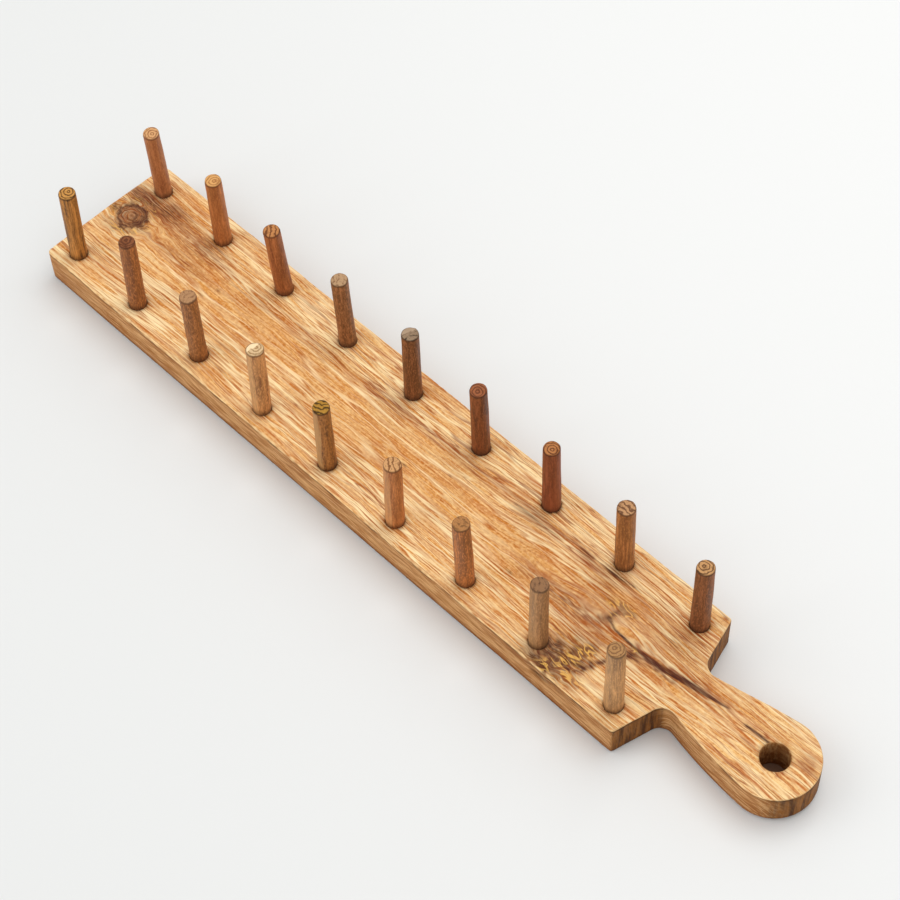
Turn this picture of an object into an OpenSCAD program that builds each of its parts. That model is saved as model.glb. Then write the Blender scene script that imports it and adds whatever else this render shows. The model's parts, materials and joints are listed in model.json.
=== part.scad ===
// Peg loom: a paddle-shaped hardwood board with two rows of loose pegs.
// The warp threads hang from the pegs; a peg is lifted out of its socket to
// slide the finished weave off. Lengths are in millimetres, angles in degrees.
// Origin: middle of the whole loom's footprint, on the board's underside.
// +X runs towards the handle, -Y is the front, +Z is up out of the board.

/* [Board] */
// Width of the board across the peg rows
board_w = 103.5; // [96:0.5:140]
// Thickness of the board
board_t = 25.5; // [22:0.5:40]
// Distance from the plain end of the board to the first peg
end_margin = 17; // [12:0.5:40]
// Distance from the last peg to the corner of the shoulder
shoulder_margin = 11.5; // [10:0.5:40]
// Angle by which each shoulder slopes on towards the handle
shoulder_rake = 15; // [5:1:20]
// Corner radius at the plain end, back corner
back_corner_r = 6; // [3:0.5:10]
// Corner radius at the plain end, front corner
front_corner_r = 3; // [2:0.5:10]

/* [Handle] */
// Length of the handle, from the shoulder corners to its rounded tip
handle_l = 103.5; // [95:0.5:160]
// Width of the handle at its neck
neck_w = 35; // [30:0.5:40]
// Distance from the shoulder corners to the neck
neck_at = 18.5; // [17:0.5:22]
// Sideways offset of the neck from the board's centre line
neck_y = -1; // [-3:0.5:3]
// Radius of the rounded tip
tip_r = 27; // [24:0.5:30]
// Sideways offset of the tip from the board's centre line
tip_y = 1; // [-3:0.5:3]
// Radius of the inside curve between shoulder and neck
fillet_r = 9; // [6:0.5:11]
// Diameter of the hanging hole
hang_hole_d = 18; // [8:0.5:30]
// Width of the eased rim at both mouths of the hanging hole
hang_hole_ease = 0.8; // [0.4:0.1:2]

/* [Pegs] */
// Number of pegs in each row
peg_count = 9; // [2:1:9]
// Distance between neighbouring pegs in a row
peg_pitch = 60; // [30:1:60]
// Distance between the two rows
row_gap = 74; // [50:1:76]
// Sideways offset of the pair of rows from the board's centre line
row_y = -1; // [-2:0.5:2]
// Diameter of a peg where it enters the board
peg_d = 12; // [8:0.5:16]
// Diameter of a peg at its top
peg_top_d = 11; // [6:0.5:14]
// Height of a peg above the board
peg_h = 61; // [30:1:90]
// Width of the eased edge at the top and at the foot of a peg
peg_ease = 0.8; // [0.4:0.1:1.5]
// Depth of a peg's blind socket
socket_depth = 18; // [10:0.5:19]
// Gap all round between a peg and its socket
socket_gap = 0.06; // [0.03:0.01:0.09]
// Gap between a peg's foot and the floor of its socket
foot_gap = 0.1; // [0.05:0.05:0.5]

/* [Hidden] */
$fn = 96;

// Lengthwise stations, so that the whole loom is centred on X = 0
body_l = end_margin + (peg_count - 1) * peg_pitch + shoulder_margin;
total_l = body_l + handle_l;
end_x = -total_l / 2;
shoulder_x = end_x + body_l;
first_peg_x = end_x + end_margin;
neck_x = shoulder_x + neck_at;
tip_x = total_l / 2 - tip_r;
half_w = board_w / 2;
// Margin by which a cutting tool passes a face that it cuts through
pass = 1;
// Largest angle between neighbouring points of a rounded outline
arc_step = 4;
// Straight part of a peg that shows above the board before its taper starts
collar = 0.6;

// Hand-drilled sockets stand a little off square: each entry is the lean of
// one peg towards +X and towards +Y, from the plain end to the handle
front_leans = [[1.5, 1], [0, 1.5], [0.5, -0.5], [0.5, 1], [1, -0.5],
    [1, 0.5], [-1, -0.5], [-0.5, 1.5], [-1, 1]];
back_leans = [[1.5, -2], [1, -1], [-1, -3], [-1.5, -0.5], [0, 0.5],
    [-0.5, -0.5], [0, -0.5], [-0.5, -0.5], [-1, 1]];

// The pegs are cut from mixed offcuts, so each has a wood colour of its own
honey = [0.84, 0.62, 0.40];
pale = [0.75, 0.60, 0.42];
tan = [0.68, 0.47, 0.28];
brown = [0.56, 0.36, 0.20];
umber = [0.45, 0.28, 0.16];
russet = [0.46, 0.23, 0.13];
front_tones = [tan, brown, brown, pale, brown, tan, tan, pale, pale];
back_tones = [tan, brown, brown, umber, umber, russet, russet, brown, umber];

// Point that lies at distance a along normal n and at distance b along normal m
function meet(n, a, m, b) =
    [a * m[1] - b * n[1], n[0] * b - m[0] * a] / (n[0] * m[1] - n[1] * m[0]);

// Points along an arc about centre c, from one angle to another
function arc(c, r, from, to) =
    let (steps = ceil(abs(to - from) / arc_step))
    [for (k = [0:steps]) c + r * [cos(from + (to - from) * k / steps),
        sin(from + (to - from) * k / steps)]];
// The same points on the other side of the centre line, in the opposite order
function mirrored(points) =
    [for (k = [len(points) - 1:-1:0]) [points[k][0], -points[k][1]]];

// Geometry of one side of the handle, as if it were the back one (side = 1) or
// the front one mirrored to the back (side = -1)
function tip_centre(side) = [tip_x, side * tip_y];
function neck_point(side) = [neck_x, neck_w / 2 + side * neck_y];
function to_tip(side) = tip_centre(side) - neck_point(side);
// Angle of the flank, which runs from the neck and touches the round tip
function flank_angle(side) =
    atan2(to_tip(side)[1], to_tip(side)[0]) + asin(tip_r / norm(to_tip(side)));
// Outward normals of the flank and of the shoulder
function flank_normal(side) = [-sin(flank_angle(side)), cos(flank_angle(side))];
shoulder_normal = [cos(shoulder_rake), sin(shoulder_rake)];
function fillet_centre(side) = meet(
    shoulder_normal, shoulder_normal * [shoulder_x, half_w] + fillet_r,
    flank_normal(side), flank_normal(side) * neck_point(side) + fillet_r);
// Outline of one side, from the corner at the plain end round to the tip's end
function side_outline(side, corner_r) = concat(
    arc([end_x + corner_r, half_w - corner_r], corner_r, 180, 90),
    [[shoulder_x, half_w]],
    arc(fillet_centre(side), fillet_r, 180 + shoulder_rake, 270 + flank_angle(side)),
    arc(tip_centre(side), tip_r, 90 + flank_angle(side), 0));

// The board's blank, cut to its outline
module blank() {
    linear_extrude(height = board_t)
        polygon(concat(side_outline(1, back_corner_r),
            mirrored(side_outline(-1, front_corner_r))));
}

// Cutter for the hanging hole, flared at both mouths
module hang_hole_cutter() {
    hole_r = hang_hole_d / 2;
    flare_h = hang_hole_ease + pass;
    translate([tip_x, tip_y, 0]) {
        translate([0, 0, -pass]) cylinder(r = hole_r, h = board_t + 2 * pass);
        translate([0, 0, -pass]) cylinder(r1 = hole_r + flare_h, r2 = hole_r, h = flare_h);
        translate([0, 0, board_t - hang_hole_ease])
            cylinder(r1 = hole_r, r2 = hole_r + flare_h, h = flare_h);
    }
}

// Places its children at peg i of a row, with +Z along that peg's own axis
// and Z = 0 where the axis meets the board's top
module at_peg(side, leans, i) {
    lean = leans[i - 1];
    translate([first_peg_x + (i - 1) * peg_pitch, side * row_gap / 2 + row_y, board_t])
        rotate([-lean[1], lean[0], 0])
            children();
}

// Cutter for one blind socket
module socket_cutter() {
    translate([0, 0, -socket_depth])
        cylinder(r = peg_d / 2 + socket_gap, h = socket_depth + 2 * pass);
}

// The board with its handle, hanging hole and peg sockets, in one piece of wood
module board() {
    color(honey)
        difference() {
            blank();
            hang_hole_cutter();
            for (i = [1:peg_count]) {
                at_peg(-1, front_leans, i) socket_cutter();
                at_peg(1, back_leans, i) socket_cutter();
            }
        }
}

// One turned peg: a straight foot in the socket, a slight taper above the
// board, and eased edges at both ends
module peg() {
    foot = -socket_depth + foot_gap;
    foot_r = peg_d / 2;
    top_r = peg_top_d / 2;
    rotate_extrude()
        polygon([
            [0, foot], [foot_r - peg_ease, foot], [foot_r, foot + peg_ease],
            [foot_r, collar], [top_r, peg_h - peg_ease],
            [top_r - peg_ease, peg_h], [0, peg_h]]);
}

module peg_front(i) {
    color(front_tones[i - 1]) at_peg(-1, front_leans, i) peg();
}

module peg_back(i) {
    color(back_tones[i - 1]) at_peg(1, back_leans, i) peg();
}

board();
for (i = [1:peg_count]) {
    peg_front(i);
    peg_back(i);
}
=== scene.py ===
"""A peg loom of brushed wood: a paddle-shaped board with two rows of loose pegs.

Shapes are worked out in millimetres, in the part's own frame, and turned into
metres when a mesh is made. The board's grain is one set of noise fields that
gives both its carved relief and the masks that its material colours.
"""

import json
import math
from collections import namedtuple

import bpy
import numpy as np
from mathutils import Matrix, Vector
from mathutils.geometry import delaunay_2d_cdt


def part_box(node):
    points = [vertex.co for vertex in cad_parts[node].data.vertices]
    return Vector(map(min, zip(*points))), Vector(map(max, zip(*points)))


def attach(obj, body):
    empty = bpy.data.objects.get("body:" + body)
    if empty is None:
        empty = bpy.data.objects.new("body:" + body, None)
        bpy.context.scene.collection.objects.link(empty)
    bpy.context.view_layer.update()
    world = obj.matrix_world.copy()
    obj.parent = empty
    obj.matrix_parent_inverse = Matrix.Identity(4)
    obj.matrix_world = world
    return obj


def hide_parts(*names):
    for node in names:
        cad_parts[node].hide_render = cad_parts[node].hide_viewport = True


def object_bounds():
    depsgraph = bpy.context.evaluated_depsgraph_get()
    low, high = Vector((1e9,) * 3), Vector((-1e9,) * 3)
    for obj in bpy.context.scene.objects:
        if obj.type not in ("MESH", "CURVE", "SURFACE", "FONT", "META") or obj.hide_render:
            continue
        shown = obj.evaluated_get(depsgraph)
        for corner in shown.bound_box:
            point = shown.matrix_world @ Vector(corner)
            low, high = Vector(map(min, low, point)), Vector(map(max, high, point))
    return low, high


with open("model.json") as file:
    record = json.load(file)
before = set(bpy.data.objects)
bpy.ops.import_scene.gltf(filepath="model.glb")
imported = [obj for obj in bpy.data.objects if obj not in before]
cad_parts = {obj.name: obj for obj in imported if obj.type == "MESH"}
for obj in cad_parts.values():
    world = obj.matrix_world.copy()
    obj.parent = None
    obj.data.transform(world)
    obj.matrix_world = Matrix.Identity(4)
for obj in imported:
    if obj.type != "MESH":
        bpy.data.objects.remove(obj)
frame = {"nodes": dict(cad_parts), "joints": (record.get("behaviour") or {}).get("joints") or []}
cad_low, cad_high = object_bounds()

MM = 0.001

# ---- the frame

board_low, board_high = (np.array(c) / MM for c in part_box("board"))
TOP = board_high[2]
END_X = board_low[0]
HALF_W = board_high[1]
LENGTH = board_high[0] - board_low[0]

# The handle's shape, as the CAD model has it, with softer corners
SHOULDER_X = END_X + 508.5
SHOULDER_RAKE = 15.0
NECK_X = SHOULDER_X + 18.5
NECK_HALF = 17.5
NECK_Y = -1.0
TIP_R = 27.0
TIP_Y = 1.0
TIP_X = board_high[0] - TIP_R
FILLET_R = 9.0
HANG_R = 9.0
FRONT_CORNER_R = 3.0
BACK_CORNER_R = 6.0
SHOULDER_CORNER_R = 2.2
# Slope of each flank where it leaves the neck and where it meets the tip
FRONT_FLANK = (12.0, 3.0)
BACK_FLANK = (10.5, 9.0)

SOCKET_R = 6.05
SOCKET_DEPTH = 18.0
SOCKET_RIM = 0.10

# ---- noise fields


def hash01(ix, iy, seed):
    """A repeatable number from 0 to 1 for each cell of a grid."""
    mask = 0xFFFFFFFF
    ix, iy = ix.astype(np.int64), iy.astype(np.int64)
    h = (ix * 374761393 + iy * 668265263 + seed * 974634777) & mask
    h = ((h ^ (h >> 13)) * 1274126177) & mask
    return ((h ^ (h >> 16)) & mask) / 2.0**32


def noise(x, y, seed):
    """Smooth gradient noise, about -1 to 1."""
    x, y = np.broadcast_arrays(np.asarray(x, float), np.asarray(y, float))
    ix, iy = np.floor(x), np.floor(y)
    fx, fy = x - ix, y - iy
    ux, uy = (t * t * t * (t * (6 * t - 15) + 10) for t in (fx, fy))
    total = np.zeros_like(fx)
    for cx in (0, 1):
        for cy in (0, 1):
            angle = 2 * np.pi * hash01(ix + cx, iy + cy, seed)
            slope = np.cos(angle) * (fx - cx) + np.sin(angle) * (fy - cy)
            total += (ux if cx else 1 - ux) * (uy if cy else 1 - uy) * slope
    return total * 1.6


def unit(x):
    return np.clip(x, 0, 1)


def ramp(x, low, high):
    """0 below low, 1 above high, smooth between."""
    t = unit((x - low) / (high - low))
    return t * t * (3 - 2 * t)


def bell(away, width):
    """1 where away is 0, falling off softly on both sides."""
    return np.exp(-((away / width) ** 2))


def blob(x, y, cx, cy, rx, ry):
    """A soft round patch, 1 at its centre."""
    return np.exp(-(((x - cx) / rx) ** 2) - ((y - cy) / ry) ** 2)


def brushes(x, y):
    """Two brushes over a set of points, each with its weight: a round patch and a line."""

    def line(weight, width, *path):
        nearest = np.full(np.shape(x), 1e9)
        for (ax, ay), (bx, by) in zip(path, path[1:]):
            dx, dy = bx - ax, by - ay
            t = unit(((x - ax) * dx + (y - ay) * dy) / (dx**2 + dy**2))
            nearest = np.minimum(nearest, np.hypot(x - ax - t * dx, y - ay - t * dy))
        return weight * bell(nearest, width)

    return lambda weight, *place: weight * blob(x, y, *place), line


# ---- the board's grain

# Knots that the grain flows round: place, radius and stretch along the grain
END_KNOT = (-288.5, 7.0, 9.0, 1.5)
BRANCH_KNOT = (158.0, 1.0, 7.0, 5.0)
# How far each pushes the fibres aside, from 0 to 1
KNOT_PUSH = (0.75, 0.45)
BURL = (148.0, -42.0, 15.0, 13.0)
# Relief in mm, how deep the brushing is, its crests, how pale the wood is, and three marks
Grain = namedtuple("Grain", "height amount crest tone stain rust gold")


def grain_line(x, y):
    """Which fibre passes a point: the same value all along one fibre."""
    v = y + 2.6 * noise(x / 120, y / 40, 1) + 0.7 * noise(x / 38, y / 13, 2)
    v = v + 0.22 * noise(x / 14, y / 6, 4)
    # the middle of the board rises a little towards the handle
    v = v - 8.0 * ramp(x, -70, 180) * bell(y - 13, 24)
    for (kx, ky, radius, stretch), push in zip((END_KNOT, BRANCH_KNOT), KNOT_PUSH):
        away = ((x - kx) / stretch) ** 2 + (y - ky) ** 2
        v = v - push * (y - ky) * radius**2 / (away + radius**2)
    # curly grain round the knot and in the burl
    kx, ky = END_KNOT[:2]
    v = v + 2.6 * blob(x, y, kx + 6, ky - 2, 26, 17) * noise(x / 8, y / 6, 5)
    bx, by, rx, ry = BURL
    v = v + 5.0 * blob(x, y, bx, by, rx, ry) * noise(x / 9, y / 7, 3)
    # growth rings of the knot itself
    core = np.hypot((x - kx) / 1.1, y - ky) + 1.2 * noise(x / 4, y / 4, 6)
    inside = 1 - ramp(core, 7.5, 11.5)
    return v * (1 - inside) + (ky + core * 1.2) * inside


def ridges(x, v):
    """Crests that follow the fibres, 0 to 1: long, thin and a little wavy."""
    wander = v + 0.9 * noise(x / 60, v / 8, 13)
    n = noise(x / 70, wander / 3.4, 11) + 0.3 * noise(x / 34, wander / 1.9, 12)
    return unit(1 - 3.4 * np.abs(n))


def relief_amount(x, y, v):
    """How deeply the surface is brushed: strong near the edges, calm in the middle."""
    edge = 0.16 + 0.84 * ramp(np.abs(y - 1), 7, 27)
    edge = np.maximum(edge, 0.95 * ramp(x, 50, 140))
    edge = np.maximum(edge, 0.9 * blob(x, y, -292, 6, 22, 22))
    patch = 0.88 + 0.8 * noise(x / 60, v / 6, 14)
    return np.clip(edge * patch, 0.05, 1.1)


def end_knot_marks(x, y, fine):
    """The dark-ringed knot near the plain end: (stain, rust, gold)."""
    spot, line = brushes(x, y)
    kx, ky = END_KNOT[:2]
    angle = np.arctan2(y - ky, x - kx)
    uneven = 1 + 0.20 * noise(x / 3.4, y / 3.4, 33) + 0.06 * np.cos(3 * angle + 1)
    r = np.hypot((x - kx) / 1.05, y - ky) * uneven
    patchy = 0.65 + 0.35 * np.cos(angle - 0.3) + 0.5 * noise(x / 4.5, y / 4.5, 34)
    stain = 1.35 * bell(r - 9.0, 1.3) * np.clip(patchy + 0.3, 0.45, 1.2)
    stain += 0.45 * bell(r - 6.2, 0.6)
    stain += 0.9 * bell(r - 3.4, 0.9) * patchy + 0.10 * (1 - ramp(r, 7.0, 9.5))
    stain += spot(0.8, kx + 10, ky - 1.5, 5.5, 3.2) + spot(0.7, kx - 14, ky - 2, 5, 3)
    smoke = spot(1.1, kx - 11, ky + 16, 9, 7) + spot(1.2, kx + 6, ky + 16, 15, 5)
    smoke += spot(1.0, kx + 19, ky + 22, 13, 7) + spot(0.5, kx - 5, ky - 13, 9, 5)
    broken = unit(0.55 + 1.5 * fine)
    stain = 1.25 * stain * (1 + 0.8 * noise(x / 1.9, y / 1.7, 38))
    stain = stain + 0.5 * smoke * (0.25 + broken)
    rust = spot(0.8, kx + 42, ky + 15, 36, 11) * (0.4 + broken) + 0.8 * smoke
    rust += 0.75 * (1 - ramp(r, 7.5, 11.5))
    rust += line(0.45, 3.5, (kx + 12, ky - 2), (kx + 70, ky - 3)) * broken
    gold = 0.5 * bell(r - 13.5, 3.0) * broken + 1.2 * bell(r, 1.2)
    gold += line(0.7, 1.8, (kx - 1, ky - 14), (kx + 7, ky - 12), (kx + 12, ky - 8))
    return stain, rust, gold


# The path of the long dark check, from the branch knot into the handle
CHECK = [
    (150, 2.0), (158, -1.3), (176, -2.4), (184, -1.9),
    (196, -1.0), (215, 2.6), (231, 4.7), (239, 6.0),
]


def branch_knot_marks(x, y, fine):
    """The branch scar before the handle, with its long dark check: (stain, rust, gold)."""
    spot, line = brushes(x, y)
    width = 0.55 + spot(0.95, 196, -1, 17, 30) + spot(0.75, 217, 2.6, 10, 30)
    broken = unit(0.6 + 1.5 * fine)
    stain = line(2.6, width, *CHECK)
    stain += spot(1.1, 150.5, 1.8, 2.6, 1.7) + spot(0.6, 146.5, -1.5, 4.5, 1.8) * broken
    stain += line(1.1, 1.1, (151.5, 11), (150, 6), (150.5, 2)) * (0.5 + 0.5 * broken)
    stain += spot(1.3, 177, -7.0, 6.5, 2.2) * (0.3 + 0.7 * broken)
    stain += line(0.6, 1.5, (184, -4), (196, -5), (206, -3)) * broken
    stain += spot(0.35, 122, -7, 22, 4) * broken
    rust = line(1.0, 4.8, *CHECK[2:]) * (0.45 + 0.55 * broken)
    rust += line(0.75, 6.5, (92, -7), (126, -8), (150, -1)) * (0.4 + 0.6 * broken)
    rust += spot(0.6, 156, -13, 22, 10) + spot(0.3, 195, 17, 40, 14) * (0.4 + 0.6 * broken)
    gold = line(0.9, 3.0, (144, 11), (150, 13.5), (159, 13)) + line(0.7, 1.6, (150, 5), (155, 10))
    gold += spot(0.8, 176, -3.9, 3.5, 1.3) + spot(0.45, 190, 15, 9, 3) * broken
    return stain, rust, gold


def burl_marks(x, y):
    """The rough golden-brown burl at the front edge: (stain, rust, gold)."""
    spot, line = brushes(x, y)
    width = 1.6 + spot(3.4, 158, -36, 10, 9)
    wedge = line(1, width, (154, -38), (162, -32), (168, -21), (176, -8))
    stain = 1.2 * wedge + spot(1.2, 142, -42, 8, 8) + spot(1.1, 141, -33, 10, 4.5)
    stain += spot(1.0, 143, -50, 14, 4) + spot(0.7, 150, -25, 8, 6)
    strokes = line(1, 4.2, (144, -49), (149, -42), (153, -32), (157, -21))
    strokes = np.maximum(strokes, spot(0.7, 158, -44, 12, 5))
    area = unit(wedge + strokes + spot(1, 142, -40, 16, 11))
    rough = 0.85 + 0.9 * noise(x / 4.5, y / 3.5, 35) + 0.5 * noise(x / 1.9, y / 1.6, 36)
    rough = np.clip(rough, 0.1, 1.5)
    return 0.8 * stain * rough, 0.7 * area, 1.3 * strokes


# Small dark flecks in the calm middle: place and size
FLECKS = [
    (-199, 5, 0.9), (-205, -5, 1.0), (-14, -6, 1.1), (86, -16, 1.3),
    (45, -9, 0.7), (-150, -14, 0.6), (12, 8, 0.6),
]


def top_grain(x, y):
    """Relief and colour masks of the board's top face."""
    spot, line = brushes(x, y)
    v = grain_line(x, y)
    crest = ridges(x, v)
    groove = unit(ridges(x, v + 0.9) - crest)
    amount = relief_amount(x, y, v)
    fine = noise(x / 6, v, 32)
    coarse = noise(x / 110, v / 7.0, 21) * 0.85 + noise(x / 60, v / 2.6, 22) * 0.45
    knot, branch = end_knot_marks(x, y, fine), branch_knot_marks(x, y, fine)
    burl = burl_marks(x, y)
    stain, rust, gold = (a + b + c for a, b, c in zip(knot, branch, burl))
    broken = unit(0.5 + 1.3 * noise(x / 18, v / 1.2, 37))
    stain += spot(0.7, -225, 26, 10, 2.4) * unit(2 * broken - 0.5)
    stain += line(0.65, 1.4, (55, 21), (100, 23.5), (150, 27)) * broken
    stain += line(0.9, 1.3, (106, 25.0), (146, 28)) * broken
    stain += line(1.7, 0.8, (253, 4.6), (262, 5.0), (272, 5.2))
    for fx, fy, size in FLECKS:
        stain += spot(0.85, fx, fy, 1.7 * size, 0.75 * size)
    rust += spot(0.5, -236, 4.6, 34, 3.6)
    rust += line(1.3, 1.7, (-75, 21.5), (20, 24), (115, 26)) * unit(0.35 + broken)
    rust += line(0.9, 1.3, (-20, 19), (60, 20), (130, 21.5)) * unit(0.2 + broken)
    rust += line(0.8, 1.6, (-160, 24), (-90, 19.5), (-40, 18.5)) * broken
    rust += line(0.55, 3.5, (-240, 19), (-130, 17), (-60, 20)) * broken
    rust += spot(1.5, 295, 11.5, 5, 4) * (0.3 + broken) + line(0.8, 1.5, (290, 8), (306, 7.6))
    rust += spot(0.4, 280, 8, 22, 8) * broken
    rust += spot(0.45, 155, 20, 50, 14) * (0.35 + broken) + spot(0.25, 150, -6, 62, 12)
    rust += spot(0.35, -268, -30, 32, 10) * broken
    # the handle is paler than the body, and the wood round the branch knot is browner
    coarse = coarse + ramp(x, 232, 268) - spot(0.35, 160, 8, 60, 34)
    coarse = coarse + 0.05 * ramp(np.abs(y - 1), 34, 44)
    height = -0.10 + amount * (0.26 * crest - 0.20 * groove) + 0.15 * noise(x / 55, y / 9, 15)
    height -= 0.3 * unit(burl[0] + branch[0]) + 0.2 * unit(knot[0])
    return Grain(height, amount, amount * crest, 0.5 + 0.5 * coarse, stain, rust, gold)


# Old knot hole that opens in the front edge under the burl: place, length, height
EDGE_PIT = (144.0, 17.5, 5.0, 2.0)


def wall_grain(x, y, z):
    """Relief and colour masks of the board's edges. Fibres run along X there too."""
    level = z + 1.5 * noise(x / 90, z / 14, 41) + 0.5 * noise(x / 28, z / 6, 42) + 0.12 * y
    crest = unit(1 - 3 * np.abs(noise(x / 50, level / 2.2, 43)))
    coarse = noise(x / 110, level / 5.5, 44) * 0.9 + noise(x / 40, level / 2.2, 45) * 0.5
    px, pz, length, tall = EDGE_PIT
    pit = blob(x, z, px, pz, length, tall) * (y < 0)
    bloom = blob(x, z, px + 4, 23, 20, 5) * (y < 0)
    stain = 1.1 * pit + 0.6 * bloom * unit(0.5 + 1.2 * noise(x / 8, z / 3, 46))
    gold = 0.8 * blob(x, z, px + 3, pz + 1.8, 4.0, 0.8) * (y < 0)
    height = 0.05 * noise(x / 30, level / 1.2, 47) + 0.14 * noise(x / 80, z / 12, 48) - 1.6 * pit
    return Grain(height, 0.22 + 0 * x, 0.3 * crest, 0.5 + 0.5 * coarse, stain, 0 * x, gold)


# ---- the board's outline


def arc(centre, radius, start, end):
    """Points a degree or two apart along an arc. Angles are in degrees."""
    angles = np.radians(np.linspace(start, end, max(6, int(abs(end - start) / 1.5))))
    return np.array(centre) + radius * np.stack([np.cos(angles), np.sin(angles)], 1)


def corner(before, at, after, radius):
    """A corner between two straight edges, rounded."""
    a, b = (np.subtract(p, at) / np.linalg.norm(np.subtract(p, at)) for p in (before, after))
    half = math.acos(float(a @ b)) / 2
    middle = (a + b) / np.linalg.norm(a + b)
    centre = np.array(at) + middle * radius / math.sin(half)
    start = np.array(at) + a * radius / math.tan(half) - centre
    end = np.array(at) + b * radius / math.tan(half) - centre
    turn = np.linspace(0, 1, 9)[:, None]
    chord = start * (1 - turn) + end * turn
    return centre + radius * chord / np.linalg.norm(chord, axis=1)[:, None]


def bezier(p0, p1, p2, p3):
    t = np.linspace(0, 1, 40)[:, None]
    return p0 * (1 - t) ** 3 + 3 * p1 * t * (1 - t) ** 2 + 3 * p2 * t * t * (1 - t) + p3 * t**3


def heading(angle):
    a = math.radians(angle)
    return np.array([math.cos(a), math.sin(a)])


def half_outline(side, corner_r, flank):
    """One side of the outline, from the plain end to the tip, with Y counted outwards."""
    leave, arrive = flank
    rake = heading(SHOULDER_RAKE)
    out = heading(90 + leave)
    shoulder = np.array([SHOULDER_X, HALF_W])
    neck = np.array([NECK_X, NECK_HALF + side * NECK_Y])
    tip = np.array([TIP_X, side * TIP_Y])
    fillet = np.linalg.solve([rake, out], [rake @ shoulder + FILLET_R, out @ neck + FILLET_R])
    flank_start = fillet - FILLET_R * out
    flank_end = tip + TIP_R * heading(90 + arrive)
    pull = np.linalg.norm(flank_end - flank_start) / 3
    points = np.vstack([
        corner((END_X, 0), (END_X, HALF_W), shoulder, corner_r),
        corner((END_X, HALF_W), shoulder, fillet - FILLET_R * rake, SHOULDER_CORNER_R),
        arc(fillet, FILLET_R, 180 + SHOULDER_RAKE, 270 + leave),
        bezier(
            flank_start,
            flank_start + pull * heading(leave),
            flank_end - pull * heading(arrive),
            flank_end,
        ),
        arc(tip, TIP_R, 90 + arrive, 0),
    ])
    return points * [1, side]


def resample(loop, step):
    """The same closed loop with points an even distance apart."""
    closed = np.vstack([loop, loop[:1]])
    gap = np.linalg.norm(np.diff(closed, axis=0), axis=1)
    closed = closed[np.append(gap > 1e-6, True)]
    along = np.append(0, np.cumsum(np.linalg.norm(np.diff(closed, axis=0), axis=1)))
    at = np.linspace(0, along[-1], int(along[-1] / step), endpoint=False)
    return np.stack([np.interp(at, along, closed[:, k]) for k in (0, 1)], 1)


def board_outline():
    """The outline, anticlockwise from above, with the small waves of a hand-cut edge."""
    front = half_outline(-1, FRONT_CORNER_R, FRONT_FLANK)
    back = half_outline(1, BACK_CORNER_R, BACK_FLANK)
    loop = resample(np.vstack([front, back[::-1]]), 1.1)
    x, y = loop.T
    y = y + 0.25 * noise(x / 90, np.sign(y) * 3, 51) * (x < SHOULDER_X - 5)
    bow = 0.8 * (1 - (y / HALF_W) ** 2) - 0.3
    x = x - bow * (x < END_X + 8) * (np.abs(y) < HALF_W - 4)
    return np.stack([x, y], 1)


def outward(loop):
    """Unit normals of a closed anticlockwise loop."""
    along = np.roll(loop, -1, 0) - np.roll(loop, 1, 0)
    along /= np.linalg.norm(along, axis=1)[:, None]
    return np.stack([along[:, 1], -along[:, 0]], 1)


# ---- mesh making


class Shell:
    """Points and faces of one closed mesh, in millimetres."""

    def __init__(self):
        self.points = []
        self.faces = []
        self.slots = []
        self.count = 0

    def add(self, points):
        """Adds points, and gives their numbers."""
        points = np.asarray(points, float).reshape(-1, 3)
        self.points.append(points)
        self.count += len(points)
        return np.arange(self.count - len(points), self.count)

    def face(self, rows, slot=0):
        rows = np.asarray(rows)
        self.faces += rows.tolist()
        self.slots += [slot] * len(rows)

    def bridge(self, upper, lower, slot=0):
        """Joins two rings of points. Seen from outside, upper runs to the right."""
        self.face(np.stack([upper, lower, np.roll(lower, -1), np.roll(upper, -1)], 1), slot)

    def fan(self, ring, centre, slot=0):
        after = np.roll(ring, -1)
        self.face(np.stack([ring, after, np.full(len(ring), centre[0])], 1), slot)

    def build(self, name, matrix=None):
        """The finished object."""
        mesh = bpy.data.meshes.new(name)
        mesh.from_pydata((np.vstack(self.points) * MM).tolist(), [], self.faces)
        mesh.polygons.foreach_set("material_index", self.slots)
        mesh.polygons.foreach_set("use_smooth", [True] * len(self.faces))
        mesh.validate()
        mesh.update()
        obj = bpy.data.objects.new(name, mesh)
        if matrix is not None:
            obj.matrix_world = matrix
        bpy.context.scene.collection.objects.link(obj)
        return obj


def add_mask(obj, name, red, green, blue):
    """Three masks, from 0 to 1, kept on the mesh's points as one colour attribute."""
    layer = obj.data.color_attributes.new(name, "FLOAT_COLOR", "POINT")
    values = np.ones((len(red), 4))
    for k, mask in enumerate((red, green, blue)):
        values[:, k] = unit(mask)
    layer.data.foreach_set("color", values.ravel())


def peg_axis(name):
    """Where a CAD peg's axis meets the board's top, its direction, and its foot and top."""
    joint = next(joint for joint in frame["joints"] if joint["child"] == name)
    direction = Vector(joint["axis"]).normalized()
    turn = direction.to_track_quat("Z", "Y").to_matrix()
    points = np.array([v.co for v in frame["nodes"][name].data.vertices]) @ np.array(turn)
    low, high = points.min(0), points.max(0)
    middle = (low + high) / 2
    base = turn @ Vector((middle[0], middle[1], 0))
    base = base + direction * ((TOP * MM - base.z) / direction.z)
    rise = (turn.transposed() @ base).z
    return base, turn, (low[2] - rise) / MM, (high[2] - rise) / MM


PEG_NAMES = [f"peg_{row}_{i}" for row in ("front", "back") for i in range(1, 10)]
PEG_AXES = {name: peg_axis(name) for name in PEG_NAMES}

# ---- the board mesh


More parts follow.
